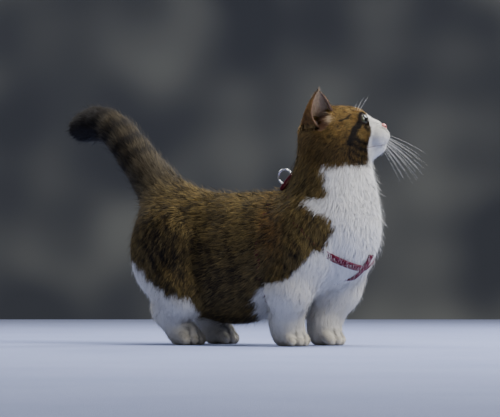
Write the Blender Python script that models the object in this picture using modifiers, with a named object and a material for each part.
"""A munchkin cat, standing with its head up and turned to its left, in a strap harness.

Metres, +Z up. The cat faces +X, its left is +Y, and it stands on z = 0 with the origin below the middle of
its box. The flesh is one blended form: named masses, each an egg or a tapered limb, run into each other with
a rounded crease. Blender's voxel remesh makes the masses one skin, the skin is drawn onto the blended form,
and thin flat cuts part it into the head, neck, trunk, legs, paws and tail. The outline is that of the coat's tips.
"""

import math
from dataclasses import dataclass

import bmesh
import bpy
import numpy as np
from mathutils import Matrix, Vector

# Driving dimensions of the standing cat, before the shift that centres its box
CAT = "munchkin_cat"
GAP = 0.0003
BACK_HEIGHT = 0.181
BELLY_CLEARANCE = 0.024
TRUNK_REAR = -0.165
BREAST_FRONT = 0.161
HEAD_CENTRE = Vector((0.096, 0.006, 0.2497))
HEAD_TURN = math.radians(32)
HEAD_LIFT = math.radians(17)
EYE_RADIUS = 0.0108
COAT_BLEND = 0.026
FACE_BLEND = 0.008
TOE_BLEND = 0.0035

SIDES = {"right": -1, "left": 1}

# Colour, roughness and metallic value of each finish
FINISHES = {
    "tabby_coat": ((0.16, 0.11, 0.055, 1), 0.85, 0.0),
    "white_coat": ((0.80, 0.79, 0.76, 1), 0.85, 0.0),
    "dark_coat": ((0.035, 0.030, 0.024, 1), 0.85, 0.0),
    "nose_skin": ((0.62, 0.30, 0.27, 1), 0.45, 0.0),
    "eye_surface": ((0.18, 0.20, 0.07, 1), 0.08, 0.0),
    "webbing": ((0.42, 0.02, 0.10, 1), 0.60, 0.0),
    "ring_metal": ((0.62, 0.62, 0.64, 1), 0.25, 1.0),
    "buckle_plastic": ((0.02, 0.02, 0.022, 1), 0.40, 0.0),
}


# Blended masses


@dataclass(frozen=True)
class Egg:
    """An ellipsoid, with its three radii along the axes of turn."""

    centre: Vector
    radii: tuple
    turn: Matrix = Matrix.Identity(3)

    def distance(self, points):
        local = (points - np.array(self.centre)) @ np.array(self.turn)
        size = np.array(self.radii)
        scaled = np.linalg.norm(local / size, axis=1)
        slope = np.linalg.norm(local / size**2, axis=1) + 1e-9
        return scaled * (scaled - 1) / slope

    def balls(self):
        return [(self.centre, self.radii, self.turn)]


@dataclass(frozen=True)
class Limb:
    """A ball swept from start to end while its radius changes evenly."""

    start: Vector
    end: Vector
    start_radius: float
    end_radius: float

    def distance(self, points):
        start, axis = np.array(self.start), np.array(self.end - self.start)
        along = np.clip((points - start) @ axis / (axis @ axis), 0, 1)
        nearest = start + along[:, None] * axis
        radius = self.start_radius + along * (self.end_radius - self.start_radius)
        return np.linalg.norm(points - nearest, axis=1) - radius

    def balls(self):
        length = (self.end - self.start).length
        count = 2 + int(length / (0.4 * min(self.start_radius, self.end_radius)))
        for step in range(count):
            share = step / (count - 1)
            radius = self.start_radius + share * (self.end_radius - self.start_radius)
            yield self.start.lerp(self.end, share), (radius,) * 3, Matrix.Identity(3)


@dataclass(frozen=True)
class Form:
    """Masses that run into each other with creases as wide as blend."""

    masses: tuple
    blend: float

    def distance(self, points):
        joined = self.masses[0].distance(points)
        for mass in self.masses[1:]:
            joined = run_together(joined, mass.distance(points), self.blend)
        return joined

    def balls(self):
        for mass in self.masses:
            yield from mass.balls()


def run_together(one, other, width):
    """The lower of two distances, rounded where they differ by less than width."""
    near = np.clip(width - np.abs(one - other), 0, None) / width
    return np.minimum(one, other) - near * near * width / 4


def vec(x, y, z):
    return Vector((x, y, z))


# The cat's masses


def trunk():
    rib_top = BACK_HEIGHT - 0.003
    return Form(
        (
            Egg(vec(0.074, 0, 0.120), (0.074, 0.053, 0.058)),
            Egg(vec(BREAST_FRONT - 0.044, 0, 0.136), (0.044, 0.045, 0.052)),
            Egg(vec(0.004, 0, 0.108), (0.088, 0.058, 0.067)),
            Egg(vec(-0.030, 0, BELLY_CLEARANCE + 0.055), (0.074, 0.053, 0.055)),
            Egg(vec(TRUNK_REAR + 0.062, 0, 0.128), (0.062, 0.056, 0.055)),
            Limb(vec(-0.110, 0, rib_top - 0.024), vec(0.036, 0, rib_top - 0.034), 0.028, 0.028),
        ),
        COAT_BLEND,
    )


def neck():
    return Form(
        (
            Limb(vec(0.098, 0.000, 0.150), vec(0.098, 0.004, 0.212), 0.045, 0.038),
            Egg(vec(0.108, 0.005, 0.185), (0.044, 0.038, 0.046)),
        ),
        COAT_BLEND,
    )


def tail_path():
    """Centres and radii from the root, up and back, to the tip that bends down and to the left."""
    return [
        (vec(-0.112, 0.000, 0.157), 0.029),
        (vec(-0.148, 0.001, 0.199), 0.0258),
        (vec(-0.181, 0.005, 0.235), 0.0228),
        (vec(-0.205, 0.010, 0.258), 0.0203),
        (vec(-0.225, 0.015, 0.269), 0.0200),
        (vec(-0.247, 0.021, 0.271), 0.0212),
        (vec(-0.270, 0.026, 0.267), 0.0188),
    ]


def tail():
    path = tail_path()
    return Form(
        tuple(Limb(a, b, ra, rb) for (a, ra), (b, rb) in zip(path, path[1:], strict=False)),
        0.006,
    )


@dataclass(frozen=True)
class Paw:
    """A paw's middle on the floor, and the joint above it."""

    x: float
    y: float
    outward: float

    def masses(self):
        turn = Matrix.Rotation(self.outward, 3, "Z")
        place = vec(self.x, self.y, 0)
        found = [Limb(place + turn @ vec(-0.009, 0, 0.0145), place + turn @ vec(0.002, 0, 0.0130), 0.0155, 0.0150)]
        for lateral, forward in ((-0.0122, -0.0030), (-0.0043, 0.0012), (0.0043, 0.0012), (0.0122, -0.0030)):
            knuckle = place + turn @ vec(0.0020, lateral * 0.85, 0.0115)
            tip = place + turn @ vec(0.0115 + forward, lateral, 0.0068)
            found.append(Limb(knuckle, tip, 0.0088, 0.0080))
        return tuple(found)


def forepaw(side):
    return Paw(0.079 if side > 0 else 0.068, side * 0.032, side * math.radians(6))


def hindpaw(side):
    return Paw(-0.072, side * 0.038, side * math.radians(10))


def foreleg(side):
    paw = forepaw(side)
    shift = paw.x - 0.070
    return Form(
        (
            Egg(vec(0.088, side * 0.040, 0.118), (0.036, 0.022, 0.050)),
            Limb(vec(0.092 + shift, side * 0.042, 0.105), vec(0.076 + shift, side * 0.046, 0.066), 0.029, 0.026),
            Limb(vec(0.076 + shift, side * 0.046, 0.066), vec(paw.x - 0.006, side * 0.034, 0.028), 0.026, 0.0175),
            Limb(vec(paw.x - 0.006, side * 0.034, 0.028), vec(paw.x - 0.004, paw.y, 0.015), 0.0175, 0.0160),
        ),
        0.014,
    )


def hindleg(side):
    paw = hindpaw(side)
    return Form(
        (
            Egg(vec(-0.101, side * 0.040, 0.106), (0.047, 0.028, 0.056)),
            Limb(vec(-0.080, side * 0.046, 0.075), vec(-0.070, side * 0.046, 0.058), 0.030, 0.027),
            Limb(vec(-0.074, side * 0.046, 0.060), vec(-0.098, side * 0.041, 0.042), 0.026, 0.018),
            Limb(vec(-0.098, side * 0.041, 0.040), vec(paw.x - 0.010, paw.y, 0.016), 0.0165, 0.0155),
        ),
        0.014,
    )


def head_turn():
    return Matrix.Rotation(HEAD_TURN, 3, "Z") @ Matrix.Rotation(-HEAD_LIFT, 3, "Y")


def on_head(x, y, z):
    """A point given along the head's own nose, left and crown."""
    return HEAD_CENTRE + head_turn() @ vec(x, y, z)


def face_egg(x, y, z, radii, lean=0.0):
    return Egg(on_head(x, y, z), radii, head_turn() @ Matrix.Rotation(lean, 3, "Y"))


def skull():
    return Form(
        (
            face_egg(-0.001, 0, -0.001, (0.036, 0.035, 0.0300)),
            face_egg(0.024, 0, 0.0035, (0.023, 0.027, 0.0165)),
            Limb(on_head(0.004, 0, -0.020), on_head(0.030, 0, -0.024), 0.028, 0.020),
            *(face_egg(0.008, side * 0.025, -0.018, (0.028, 0.024, 0.025)) for side in SIDES.values()),
            *(face_egg(0.029, side * 0.018, -0.011, (0.017, 0.015, 0.013)) for side in SIDES.values()),
        ),
        0.012,
    )


def muzzle():
    pads = (face_egg(0.0542, side * 0.0088, -0.0236, (0.0122, 0.0108, 0.0112)) for side in SIDES.values())
    return Form(
        (
            face_egg(0.044, 0, -0.018, (0.020, 0.0155, 0.0145)),
            Limb(on_head(0.034, 0, 0.0022), on_head(0.0585, 0, -0.0134), 0.0105, 0.0062),
            *pads,
            face_egg(0.0490, 0, -0.0345, (0.0108, 0.0098, 0.0076)),
            Limb(on_head(0.020, 0, -0.032), on_head(0.046, 0, -0.035), 0.014, 0.0095),
        ),
        0.004,
    )


def eye_centre(side):
    return on_head(0.0345, side * 0.0185, -0.0005)


def eye_frame(side):
    """Columns: towards the eye's own left, its top, and out along its gaze."""
    gaze = head_turn() @ vec(math.cos(math.radians(30)), side * math.sin(math.radians(30)), 0.10).normalized()
    top = (head_turn() @ vec(0, 0, 1)).normalized()
    left = top.cross(gaze).normalized()
    return Matrix((left, gaze.cross(left), gaze)).transposed()


def eye_domes():
    return Form(tuple(Egg(eye_centre(side), (EYE_RADIUS + 0.0011,) * 3) for side in SIDES.values()), TOE_BLEND)


class Flesh:
    """The whole animal as one blended form."""

    def __init__(self):
        self.body = [trunk(), neck()]
        self.limbs = [leg(side) for leg in (foreleg, hindleg) for side in SIDES.values()]
        self.paws = [
            Form(paw(side).masses(), TOE_BLEND) for paw in (forepaw, hindpaw) for side in SIDES.values()
        ]
        self.tail = tail()
        self.face = [muzzle(), eye_domes()]
        self.skull = skull()

    def distance(self, points):
        joined = self.body[0].distance(points)
        for form in (*self.body[1:], self.tail):
            joined = run_together(joined, form.distance(points), COAT_BLEND)
        for form in self.limbs:
            joined = run_together(joined, form.distance(points), 0.018)
        for form in self.paws:
            joined = run_together(joined, form.distance(points), 0.006)
        head = self.skull.distance(points)
        for form, width in zip(self.face, (FACE_BLEND, 0.003), strict=True):
            head = run_together(head, form.distance(points), width)
        return run_together(joined, head, 0.014)


# Skin


def clear_scene():
    for obj in list(bpy.data.objects):
        bpy.data.objects.remove(obj)


def evaluated_copy(obj):
    """A new mesh of obj with its modifiers applied."""
    bpy.context.view_layer.update()
    graph = bpy.context.evaluated_depsgraph_get()
    return bpy.data.meshes.new_from_object(obj.evaluated_get(graph))


def with_modifier(mesh, kind, **settings):
    """A new mesh: the old one after one modifier."""
    obj = bpy.data.objects.new("worked", mesh)
    bpy.context.scene.collection.objects.link(obj)
    modifier = obj.modifiers.new(kind, kind)
    for name, value in settings.items():
        setattr(modifier, name, value)
    made = evaluated_copy(obj)
    bpy.data.objects.remove(obj)
    return made


def seed_mesh(forms, swell):
    """Every ball of the masses as its own closed sphere, swollen so that the skin starts outside the creases."""
    made = bmesh.new()
    for form in forms:
        for centre, radii, turn in form.balls():
            size = Matrix.Diagonal([r + swell for r in radii])
            place = Matrix.Translation(centre) @ (turn @ size).to_4x4()
            bmesh.ops.create_icosphere(made, subdivisions=3, radius=1, matrix=place)
    mesh = bpy.data.meshes.new("seeds")
    made.to_mesh(mesh)
    made.free()
    return mesh


def gradient(field, points, step=2e-4):
    """The field's slope at each point, from its value at the corners of a small tetrahedron."""
    corners = np.array([(1, -1, -1), (-1, -1, 1), (-1, 1, -1), (1, 1, 1)], float)
    values = field(np.concatenate([points + corner * step for corner in corners])).reshape(4, -1)
    found = values.T @ corners
    return found / (np.linalg.norm(found, axis=1)[:, None] + 1e-12)


def drawn_to(field, mesh, rounds=6):
    """Moves the mesh onto the field's zero, with its vertices evened out along the surface on the way."""
    count = len(mesh.vertices)
    points = np.empty(count * 3)
    mesh.vertices.foreach_get("co", points)
    points = points.reshape(-1, 3)
    edges = np.empty(len(mesh.edges) * 2, np.int64)
    mesh.edges.foreach_get("vertices", edges)
    one, other = edges.reshape(-1, 2).T
    degree = np.bincount(np.concatenate((one, other)), minlength=count)[:, None]
    for turn in range(rounds):
        slope = gradient(field, points)
        points = points - slope * np.clip(field(points), -0.004, 0.004)[:, None]
        if turn < rounds - 2:
            around = np.stack(
                [
                    np.bincount(one, points[other, axis], count) + np.bincount(other, points[one, axis], count)
                    for axis in range(3)
                ],
                axis=1,
            )
            pull = around / degree - points
            points = points + 0.6 * (pull - (pull * slope).sum(1)[:, None] * slope)
    mesh.vertices.foreach_set("co", points.ravel())
    mesh.update()
    return mesh


def skin_of(flesh, forms, voxel):
    """The flesh's surface round some of its forms, in faces about as large as voxel."""
    seeds = seed_mesh(forms, swell=0.0015)
    skin = with_modifier(seeds, "REMESH", mode="VOXEL", voxel_size=voxel, adaptivity=0)
    return drawn_to(flesh.distance, skin)


# Cuts


@dataclass(frozen=True)
class Cut:
    """A flat cut. The side that inward points to is kept."""

    point: Vector
    inward: Vector

    def back(self, distance):
        return Cut(self.point - self.inward.normalized() * distance, self.inward)

    def other_side(self):
        return Cut(self.point, -self.inward)


def sliced(mesh, cuts):
    """The closed mesh that is left inside every cut, with flat caps."""
    made = bmesh.new()
    made.from_mesh(mesh)
    for cut in cuts:
        geometry = made.verts[:] + made.edges[:] + made.faces[:]
        bmesh.ops.bisect_plane(
            made, geom=geometry, dist=1e-7, plane_co=cut.point, plane_no=-cut.inward, clear_outer=True
        )
        open_edges = [edge for edge in made.edges if edge.is_boundary]
        bmesh.ops.holes_fill(made, edges=open_edges, sides=0)
    bmesh.ops.triangulate(made, faces=made.faces[:], ngon_method="EAR_CLIP")
    keep_largest(made)
    left = bpy.data.meshes.new("sliced")
    made.to_mesh(left)
    made.free()
    return left


def keep_largest(made):
    """Drops every closed surface but the one with the most faces."""
    seen, shells = set(), []
    for face in made.faces:
        if face in seen:
            continue
        shell, front = {face}, [face]
        while front:
            for edge in front.pop().edges:
                for beside in edge.link_faces:
                    if beside not in shell:
                        shell.add(beside)
                        front.append(beside)
        seen |= shell
        shells.append(shell)
    shells.sort(key=len)
    for shell in shells[:-1]:
        bmesh.ops.delete(made, geom=list(shell), context="FACES")


def decimated(mesh, triangles):
    count = sum(len(face.vertices) - 2 for face in mesh.polygons)
    return with_modifier(mesh, "DECIMATE", ratio=min(1.0, triangles / count), use_collapse_triangulate=True)


def portion(skin, cuts, triangles):
    """A node's mesh: the skin near it, thinned to so many triangles, and then cut flat."""
    rough = sliced(skin, [cut.back(0.010) for cut in cuts])
    return sliced(decimated(rough, triangles), [cut.back(-GAP / 2) for cut in cuts])


def combined(mesh, tools, operation):
    """The closed mesh after one Boolean with a collection of closed meshes."""
    group = bpy.data.collections.new("tools")
    helpers = []
    for tool in tools:
        helper = bpy.data.objects.new("tool", tool)
        group.objects.link(helper)
        helpers.append(helper)
    bpy.context.scene.collection.children.link(group)
    made = with_modifier(
        mesh, "BOOLEAN", operation=operation, operand_type="COLLECTION", collection=group, solver="MANIFOLD"
    )
    for helper in helpers:
        bpy.data.objects.remove(helper)
    bpy.data.collections.remove(group)
    return made


def tidied(mesh):
    """Without doubled corners or faces of no width, and with one closed surface only."""
    made = bmesh.new()
    made.from_mesh(mesh)
    bmesh.ops.remove_doubles(made, verts=made.verts[:], dist=4e-6)
    bmesh.ops.dissolve_degenerate(made, edges=made.edges[:], dist=4e-6)
    bmesh.ops.triangulate(made, faces=made.faces[:])
    keep_largest(made)
    left = bpy.data.meshes.new("tidied")
    made.to_mesh(left)
    made.free()
    return left


def swollen(mesh, distance):
    """A copy with every corner moved out along its normal."""
    copy = mesh.copy()
    for vertex in copy.vertices:
        vertex.co = vertex.co + vertex.normal * distance
    return copy


def block(cuts, reach=0.4):
    """The convex solid inside every cut."""
    made = bmesh.new()
    bmesh.ops.create_cube(made, size=2 * reach, matrix=Matrix.Translation((0, 0, reach - 0.01)))
    mesh = bpy.data.meshes.new("block")
    made.to_mesh(mesh)
    made.free()
    return sliced(mesh, cuts)


def grid_mesh(rows, closed_rows, closed_columns, caps=False):
    """A mesh of quads between rows of points, each row of the same length."""
    count, width = len(rows), len(rows[0])
    points = [tuple(point) for row in rows for point in row]
    faces = []
    for i in range(count if closed_rows else count - 1):
        for j in range(width if closed_columns else width - 1):
            k, m = (i + 1) % count, (j + 1) % width
            faces.append((i * width + j, i * width + m, k * width + m, k * width + j))
    if caps:
        faces.append(tuple(reversed(range(width))))
        faces.append(tuple(range((count - 1) * width, count * width)))
    mesh = bpy.data.meshes.new("grid")
    mesh.from_pydata(points, [], faces)
    made = bmesh.new()
    made.from_mesh(mesh)
    bmesh.ops.remove_doubles(made, verts=made.verts[:], dist=1e-6)
    bmesh.ops.triangulate(made, faces=made.faces[:])
    bmesh.ops.recalc_face_normals(made, faces=made.faces[:])
    made.to_mesh(mesh)
    made.free()
    return mesh


def tube(points, radii, sides=6):
    """A closed tube through points, capped flat. A radius of nearly nothing makes a tip."""
    points = [Vector(p) for p in points]
    rows = []
    across = None
    for i, point in enumerate(points):
        ahead = (points[min(i + 1, len(points) - 1)] - points[max(i - 1, 0)]).normalized()
        across = ahead.orthogonal() if across is None else across
        across = (across - ahead * across.dot(ahead)).normalized()
        over = ahead.cross(across)
        turns = [2 * math.pi * k / sides for k in range(sides)]
        rows.append([point + (across * math.cos(t) + over * math.sin(t)) * radii[i] for t in turns])
    return grid_mesh(rows, closed_rows=False, closed_columns=True, caps=True)


# Head


def head_plane():
    """Below the jaw and behind the cheeks."""
    return Cut(on_head(-0.005, 0, -0.037), head_turn() @ vec(0.35, 0, 0.94))


def muzzle_plane():
    return Cut(on_head(0.0462, 0, -0.004), head_turn() @ vec(0.958, 0, -0.285))


def neck_plane():
    return Cut(vec(0.100, 0, 0.168), vec(0.20, 0, 0.98))


def front_half():
    return Cut(vec(0.004, 0, 0), vec(1, 0, 0))


def eyeball(side, grow=0.0):
    """A ball whose front carries a steeper dome, over the iris. Grown, it is the room the ball needs."""
    frame = eye_frame(side)
    dome_forward, dome_radius = 0.0040, 0.0080
    rows = []
    for i in range(12):
        polar = math.pi * i / 11
        reach = EYE_RADIUS
        if polar < math.radians(70):
            inside = dome_radius**2 - (dome_forward * math.sin(polar)) ** 2
            reach = max(reach, dome_forward * math.cos(polar) + math.sqrt(inside))
        ring = []
        for k in range(16):
            turn = 2 * math.pi * k / 16
            local = vec(math.sin(polar) * math.cos(turn), math.sin(polar) * math.sin(turn), math.cos(polar))
            ring.append(eye_centre(side) + frame @ (local * (reach + grow)))
        rows.append(ring)
    return grid_mesh(rows, closed_rows=False, closed_columns=True)


def lid_opening(side):
    """The almond between the lids, as a block that widens outwards."""
    frame = eye_frame(side)
    slant = -side * math.radians(14)
    rows = []
    for depth, growth in ((0.0030, 0.86), (0.0100, 1.0), (0.0220, 1.25)):
        ring = []
        for k in range(20):
            turn = 2 * math.pi * k / 20
            across = 0.0082 * math.cos(turn)
            up = 0.0067 * math.copysign(abs(math.sin(turn)) ** 1.2, math.sin(turn))
            flat = vec(across, up, 0) * growth
            flat.rotate(Matrix.Rotation(slant, 3, "Z"))
            ring.append(eye_centre(side) + frame @ (flat + vec(0, 0, depth)))
        rows.append(ring)
    return grid_mesh(rows, closed_rows=False, closed_columns=True, caps=True)


def on_surface(flesh, guess, rounds=8):
    """The point of the flesh's surface nearest to a guess."""
    point = np.array([tuple(guess)], float)
    for _ in range(rounds):
        point = point - gradient(flesh.distance, point) * flesh.distance(point)[:, None]
    return Vector(point[0])


def mouth_grooves(flesh):
    """The slit between the lips on each side, and the furrow under the nose."""
    found = []
    lips = ((0.0640, 0.0, -0.0290), (0.0620, 0.0050, -0.0315), (0.0560, 0.0105, -0.0325),
            (0.0480, 0.0140, -0.0310), (0.0400, 0.0170, -0.0285), (0.0330, 0.0200, -0.0265))
    for side in SIDES.values():
        line = [on_surface(flesh, on_head(x, side * y, z)) for x, y, z in lips]
        found.append(tube(line, (0.0008, 0.0008, 0.0009, 0.0009, 0.0008, 0.0005)))
    furrow = [on_surface(flesh, on_head(x, 0, z)) for x, z in ((0.067, -0.0150), (0.067, -0.020), (0.066, -0.0285))]
    found.append(tube(furrow, (0.0007, 0.0006, 0.0006)))
    return found


def nose_form(grow=0.0):
    """The bare nose: broad on top, narrow below."""
    return Form(
        (
            face_egg(0.0625, 0, -0.0124, (0.0040 + grow, 0.0060 + grow, 0.0033 + grow)),
            face_egg(0.0635, 0, -0.0156, (0.0032 + grow, 0.0039 + grow, 0.0036 + grow)),
        ),
        0.003,
    )


def form_mesh(form, voxel, triangles):
    """A small form on its own, as a thinned closed mesh."""
    seeds = seed_mesh([form], swell=0.0004)
    skin = with_modifier(seeds, "REMESH", mode="VOXEL", voxel_size=voxel, adaptivity=0)
    return decimated(drawn_to(form.distance, skin), triangles)


def nostrils():
    found = []
    for side in SIDES.values():
        line = [on_head(x, side * y, z) for x, y, z in
                ((0.0692, 0.0028, -0.0150), (0.0660, 0.0032, -0.0144), (0.0630, 0.0037, -0.0138))]
        found.append(tube(line, (0.0013, 0.0012, 0.0008), sides=8))
    return found


def whisker(side, place, lean, lift, length):
    """A tapered spine from the lip pad, curving down and back, with its root inside the pad."""
    heading = vec(math.cos(lean), side * math.sin(lean), math.sin(lift)).normalized()
    droop = vec(-0.22, 0, -0.30)
    steps = (-0.0030, 0.30 * length, 0.66 * length, length)
    line = [place + heading * step + droop * (step * step / (2 * length)) for step in steps]
    line = [on_head(*point) for point in line]
    return tube(line, (0.00042, 0.00034, 0.00022, 0.00004), sides=3)


def whiskers():
    """Three rows on each pad, the upper ones longer and lifted."""
    found = []
    for side in SIDES.values():
        for row in range(3):
            for column in range(3):
                place = vec(0.0600 - 0.0042 * column, side * (0.0135 + 0.0022 * column), -0.0205 - 0.0034 * row)
                lean = math.radians(30 + 15 * column)
                lift = math.radians(-26 - 13 * row - 4 * column)
                length = 0.046 + 0.007 * (column == 1) + 0.004 * (row == 1)
                found.append(whisker(side, place, lean, lift, length))
    return found


# Ears


@dataclass(frozen=True)
class Ear:
    """A cupped leaf: height along its axis, half its width, and how deep the cup bows back."""

    side: int
    height: float = 0.0445
    half_width: float = 0.0240
    depth: float = 0.0190
    root_thickness: float = 0.0030
    rim_thickness: float = 0.0013
    sweep: float = 0.0100

    def frame(self):
        """Root, axis, opening and edge directions."""
        root = on_head(-0.0105, self.side * 0.0250, 0.0060)
        axis = (head_turn() @ vec(0.200, self.side * 0.260, 0.945)).normalized()
        opening = head_turn() @ vec(0.56, self.side * 0.80, -0.20)
        opening = (opening - axis * opening.dot(axis)).normalized()
        return root, axis, opening, axis.cross(opening)

    def point(self, around, up, inward):
        """A point of the leaf.

        around runs -1 to 1 from edge to edge, up runs 0 to 1, and inward is the depth below the outer face.
        The rear edge sweeps ahead at its foot.
        """
        root, axis, opening, edge = self.frame()
        turn = around * math.radians(112)
        narrow = (1 - up**1.8) ** 0.85
        width = max(self.half_width * narrow - inward, 0.0002)
        deep = max(self.depth * (1 - up) ** 0.8 - inward, 0.0001)
        lean = opening * (0.004 * up * up)
        rear = max(around * self.side, 0.0)
        lean -= edge * (self.side * self.sweep * (rear * (1 - up)) ** 2)
        return root + axis * (up * self.height) + lean + edge * (width * math.sin(turn)) - opening * (
            deep * math.cos(turn)
        )

    def mesh(self):
        rows = []
        ups = (0, 0.25, 0.45, 0.62, 0.76, 0.87, 0.94, 0.985)
        arounds = [k / 6 - 1 for k in range(13)]
        for up in ups:
            thick = self.root_thickness + up * (self.rim_thickness - self.root_thickness)
            outer = [self.point(a, up, 0) for a in arounds]
            thick = min(thick, 0.45 * self.half_width * (1 - up**1.8) ** 0.85)
            inner = [self.point(a, up, thick) for a in arounds]
            rows.append(outer + inner[::-1])
        return grid_mesh(rows, closed_rows=False, closed_columns=True, caps=True)


# Harness


@dataclass(frozen=True)
class Band:
    """Webbing round the flesh: a closed loop in a plane, or an open run between two turns in it.

    The loop's sides stand off the plane by its bow, against the plane's own direction.
    """

    centre: Vector
    plane: Vector
    width: float = 0.0085
    over: float = 0.0020
    under: float = 0.0012
    samples: int = 38
    arc: tuple = None
    bow: float = 0.0

    def axes(self):
        across = self.plane.normalized()
        up = (vec(0, 0, 1) - across * across.z).normalized()
        return across, up, across.cross(up)

    def line(self, flesh):
        """Points on the flesh all the way round, and the way out at each."""
        across, up, level = self.axes()
        start, end = self.arc or (0.0, 2 * math.pi)
        steps = self.samples if self.arc is None else self.samples - 1
        turns = start + (end - start) * np.arange(self.samples) / steps
        outs = np.array([tuple(up * math.cos(t) + level * math.sin(t)) for t in turns])
        near, far = np.full(len(turns), 0.005), np.full(len(turns), 0.120)
        centres = np.array(self.centre) - np.outer(self.bow * np.sin(turns) ** 2, np.array(across))
        for _ in range(24):
            middle = (near + far) / 2
            inside = flesh.distance(centres + outs * middle[:, None]) < 0
            near, far = np.where(inside, middle, near), np.where(inside, far, middle)
        points = centres + outs * near[:, None]
        smooth = points.copy()
        for _ in range(3):
            if self.arc is None:
                smooth = (np.roll(smooth, 1, 0) + 2 * smooth + np.roll(smooth, -1, 0)) / 4
            else:
                smooth[1:-1] = (smooth[:-2] + 2 * smooth[1:-1] + smooth[2:]) / 4
        slopes = gradient(flesh.distance, smooth)
        slopes -= (slopes @ np.array(across))[:, None] * np.array(across)
        slopes /= np.linalg.norm(slopes, axis=1)[:, None]
        return [Vector(p) for p in smooth], [Vector(s) for s in slopes]

    def mesh(self, flesh, grow=0.0):
        across = self.axes()[0] * (self.width / 2 + grow)
        rows = []
        for point, out in zip(*self.line(flesh), strict=True):
            top, bottom = point + out * (self.over + grow), point - out * (self.under + grow)
            rows.append([top - across, top + across, bottom + across, bottom - across])
        return grid_mesh(rows, closed_rows=self.arc is None, closed_columns=True, caps=self.arc is not None)


def neck_band():
    return Band(centre=vec(0.103, 0, 0.134), plane=vec(0.73, 0, 0.683), bow=0.007)


def girth_band():
    return Band(centre=vec(0.035, 0, 0.115), plane=vec(0.996, 0, -0.090))


def breast_band():
    """Down the breast and back between the forelegs."""
    return Band(centre=vec(0.085, 0, 0.120), plane=vec(0, 1, 0), arc=(math.radians(102), math.radians(222)))


def saddle_place(flesh):
    """Where the straps meet at the withers, and the turn that stands a thing up on the coat there."""
    top = on_surface(flesh, vec(0.049, 0, 0.190))
    up = Vector(gradient(flesh.distance, np.array([tuple(top)]))[0])
    lean = math.atan2(up.x, up.z)
    return top, Matrix.Rotation(lean, 3, "Y")


def rounded_box(centre, turn, size, edge):
    made = bmesh.new()
    bmesh.ops.create_cube(made, size=1)
    for vertex in made.verts:
        vertex.co = Vector(a * b for a, b in zip(vertex.co, size, strict=True))
    bmesh.ops.bevel(made, geom=made.edges[:], offset=edge, segments=2, affect="EDGES", profile=0.5)
    bmesh.ops.transform(made, matrix=Matrix.Translation(centre) @ turn.to_4x4(), verts=made.verts[:])
    bmesh.ops.triangulate(made, faces=made.faces[:])
    mesh = bpy.data.meshes.new("box")
    made.to_mesh(mesh)
    made.free()
    return mesh


def ring_mesh(centre, radius, wire, turn):
    rows = []
    for i in range(24):
        along = 2 * math.pi * i / 24
        out = vec(math.cos(along), math.sin(along), 0)
        row = []
        for k in range(6):
            about = 2 * math.pi * k / 6
            local = out * (radius + wire * math.cos(about)) + vec(0, 0, wire * math.sin(about))
            row.append(centre + turn @ local)
        rows.append(row)
    return grid_mesh(rows, closed_rows=True, closed_columns=True)


# Parts


def foreleg_cuts(side):
    return [
        Cut(vec(0.085, side * 0.030, 0.073), vec(0, side * math.sin(0.80), -math.cos(0.80))),
        Cut(vec(0.043, 0, 0), vec(1, 0, 0)),
        Cut(vec(0, side * 0.004, 0), vec(0, side, 0)),
    ]


def hindleg_cuts(side):
    return [
        Cut(vec(-0.090, side * 0.030, 0.074), vec(0, side * math.sin(0.90), -math.cos(0.90))),
        Cut(vec(-0.040, 0, 0), vec(-1, 0, 0)),
        Cut(vec(0, side * 0.004, 0), vec(0, side, 0)),
    ]


def paw_plane(height):
    return Cut(vec(0, 0, height), vec(0, 0, -1))


def tail_planes():
    return (
        Cut(vec(-0.126, 0, 0.174), vec(-0.5, 0, 0.866)),
        Cut(vec(-0.182, 0.007, 0.243), vec(-0.70, 0.15, 0.69)),
        Cut(vec(-0.221, 0.017, 0.268), vec(-0.96, 0.27, 0.10)),
    )


def floor_plane():
    """The soles are cut flat at the floor."""
    return Cut(vec(0, 0, GAP / 2), vec(0, 0, 1))


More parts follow.
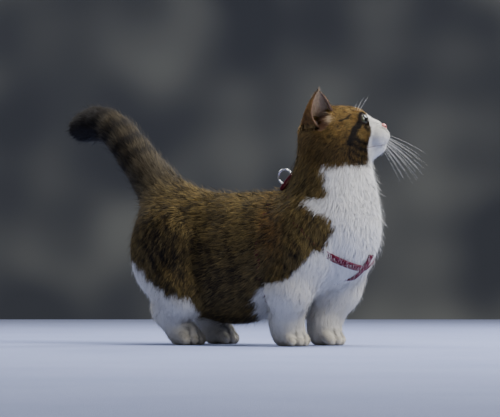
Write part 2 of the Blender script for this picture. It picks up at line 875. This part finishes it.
class CatBuilder:
    """Builds every part and names it."""

    def __init__(self):
        self.flesh = Flesh()
        self.parts = {}
        flesh = self.flesh
        self.body_skin = skin_of(flesh, [trunk(), neck(), tail(), *flesh.limbs, *flesh.paws, flesh.skull], 0.0026)
        self.head_skin = skin_of(flesh, [flesh.skull, *flesh.face, neck()], 0.0013)
        self.seats = [band.mesh(flesh, grow=GAP) for band in (neck_band(), girth_band(), breast_band())]
        self.paw_skin = skin_of(flesh, [*flesh.paws, *flesh.limbs], 0.0016)

    def add(self, name, mesh, finish):
        self.parts[name] = (tidied(mesh), finish)

    def harness_clear(self, mesh):
        """The flesh without the seats of the straps."""
        for seat in self.seats:
            mesh = combined(mesh, [seat], "DIFFERENCE")
        return mesh

    def head(self):
        flesh = self.flesh
        sockets = [eyeball(side, GAP) for side in SIDES.values()]
        openings = [lid_opening(side) for side in SIDES.values()]
        nose = form_mesh(nose_form(), 0.0006, 240)
        grooves = mouth_grooves(flesh)
        behind = Cut(muzzle_plane().point, -muzzle_plane().inward)
        face = portion(self.head_skin, [front_half(), head_plane(), behind], 1600)
        face = combined(face, openings, "DIFFERENCE")
        face = combined(face, sockets, "DIFFERENCE")
        snout = portion(self.head_skin, [front_half(), head_plane(), muzzle_plane()], 680)
        snout = combined(snout, [form_mesh(nose_form(GAP), 0.0006, 200)], "DIFFERENCE")
        for groove in grooves:
            snout = combined(snout, [groove], "DIFFERENCE")
            face = combined(face, [groove], "DIFFERENCE")
        snout = combined(snout, sockets + openings, "DIFFERENCE")
        ears = {}
        for name, side in SIDES.items():
            ears[name] = combined(Ear(side).mesh(), [swollen(face, GAP)], "DIFFERENCE")
        self.add("head", face, "tabby_coat")
        self.add("muzzle", combined(snout, whiskers(), "UNION"), "white_coat")
        self.add("nose", combined(nose, nostrils(), "DIFFERENCE"), "nose_skin")
        for name, side in SIDES.items():
            self.add(f"eye_{name}", eyeball(side), "eye_surface")
            self.add(f"ear_{name}", ears[name], "tabby_coat")

    def trunk(self):
        neck_mesh = portion(self.body_skin, [front_half(), head_plane().other_side(), neck_plane()], 460)
        self.add("neck", self.harness_clear(neck_mesh), "white_coat")
        legs = [block([cut.back(GAP / 2) for cut in cuts(side)])
                for cuts in (foreleg_cuts, hindleg_cuts) for side in SIDES.values()]
        front, rear = Cut(vec(0.036, 0, 0), vec(1, 0, 0)), Cut(vec(-0.052, 0, 0), vec(-1, 0, 0))
        root = tail_planes()[0]
        spans = {
            "chest": [front, neck_plane().other_side()],
            "belly": [front.other_side(), rear.other_side(), neck_plane().other_side()],
            "rump": [rear, root.other_side()],
        }
        for name, cuts in spans.items():
            mesh = portion(self.body_skin, cuts, 520)
            mesh = combined(mesh, legs, "DIFFERENCE")
            if name != "rump":
                mesh = self.harness_clear(mesh)
            self.add(name, mesh, "tabby_coat")

    def tail(self):
        root, bend, tip = tail_planes()
        behind = Cut(vec(-0.060, 0, 0), vec(-1, 0, 0))
        self.add("tail_base", portion(self.body_skin, [behind, root, bend.other_side()], 360), "tabby_coat")
        self.add("tail_middle", portion(self.body_skin, [behind, root, bend, tip.other_side()], 240), "tabby_coat")
        self.add("tail_tip", portion(self.body_skin, [behind, tip], 320), "dark_coat")

    def legs(self):
        for name, side in SIDES.items():
            for kind, cuts, height, finish in (
                ("fore", foreleg_cuts(side), 0.027, "white_coat"),
                ("hind", hindleg_cuts(side), 0.026, "white_coat"),
            ):
                ankle = paw_plane(height)
                upper = portion(self.body_skin, [*cuts, ankle.other_side()], 440)
                if kind == "fore":
                    upper = self.harness_clear(upper)
                self.add(f"{kind}leg_{name}", upper, finish)
                toes = portion(self.paw_skin, [*cuts[1:], ankle, floor_plane()], 400)
                self.add(f"{kind}paw_{name}", toes, finish)

    def harness(self):
        flesh = self.flesh
        top, tilt = saddle_place(flesh)
        saddle_size = (0.026, 0.020, 0.0080)
        upright = tilt @ Matrix.Rotation(math.pi / 2, 3, "X")
        ring_middle = top + tilt @ vec(0, 0, 0.0125)
        ring_radius, wire = 0.0085, 0.0012
        ring = ring_mesh(ring_middle, ring_radius, wire, upright)
        ring_room = ring_mesh(ring_middle, ring_radius, wire + GAP, upright)
        neck_loop = neck_band().mesh(flesh)
        girth_loop = girth_band().mesh(flesh)
        neck_room, girth_room = neck_band().mesh(flesh, GAP), girth_band().mesh(flesh, GAP)
        neck_loop = combined(neck_loop, [girth_room], "DIFFERENCE")
        neck_loop = combined(neck_loop, [ring_room], "DIFFERENCE")
        self.add("harness_neck_loop", neck_loop, "webbing")
        self.add("harness_girth_loop", girth_loop, "webbing")
        breast = combined(breast_band().mesh(flesh), [neck_room], "DIFFERENCE")
        breast = combined(breast, [girth_room], "DIFFERENCE")
        self.add("harness_breast_strap", breast, "webbing")
        self.add("harness_ring", ring, "ring_metal")
        saddle_middle = top + tilt @ vec(0, 0, 0.0016)
        saddle = rounded_box(saddle_middle, tilt, saddle_size, 0.0015)
        for room in (neck_room, girth_room, ring_room):
            saddle = combined(saddle, [room], "DIFFERENCE")
        seat_size = tuple(length + 2 * GAP for length in saddle_size)
        for name in ("neck", "chest", "belly"):
            mesh, finish = self.parts[name]
            seat = rounded_box(saddle_middle, tilt, seat_size, 0.0015)
            self.add(name, combined(mesh, [seat], "DIFFERENCE"), finish)
        self.add("harness_saddle", saddle, "webbing")

    def build(self):
        self.head()
        self.trunk()
        self.tail()
        self.legs()
        self.harness()
        self.place()

    def place(self):
        """Names the parts, dresses them, and puts the origin below the middle of the box."""
        corners = np.array([tuple(v.co) for mesh, _ in self.parts.values() for v in mesh.vertices])
        low, high = corners.min(0), corners.max(0)
        shift = Matrix.Translation((-(low[0] + high[0]) / 2, -(low[1] + high[1]) / 2, -low[2]))
        group = bpy.data.collections.new(CAT)
        bpy.context.scene.collection.children.link(group)
        for name, (mesh, finish) in self.parts.items():
            mesh.transform(shift)
            mesh.materials.clear()
            mesh.materials.append(coloured(finish))
            mesh.shade_smooth()
            mesh.set_sharp_from_angle(angle=math.radians(38))
            mesh.name = name
            group.objects.link(bpy.data.objects.new(name, mesh))


def coloured(name):
    """The named finish as a Principled material."""
    if name in bpy.data.materials:
        return bpy.data.materials[name]
    colour, roughness, metallic = FINISHES[name]
    material = bpy.data.materials.new(name)
    material.use_nodes = True
    shader = material.node_tree.nodes["Principled BSDF"]
    shader.inputs["Base Color"].default_value = colour
    shader.inputs["Roughness"].default_value = roughness
    shader.inputs["Metallic"].default_value = metallic
    material.diffuse_color = colour
    return material


def main():
    clear_scene()
    CatBuilder().build()
    for mesh in [mesh for mesh in bpy.data.meshes if mesh.users == 0]:
        bpy.data.meshes.remove(mesh)


main()
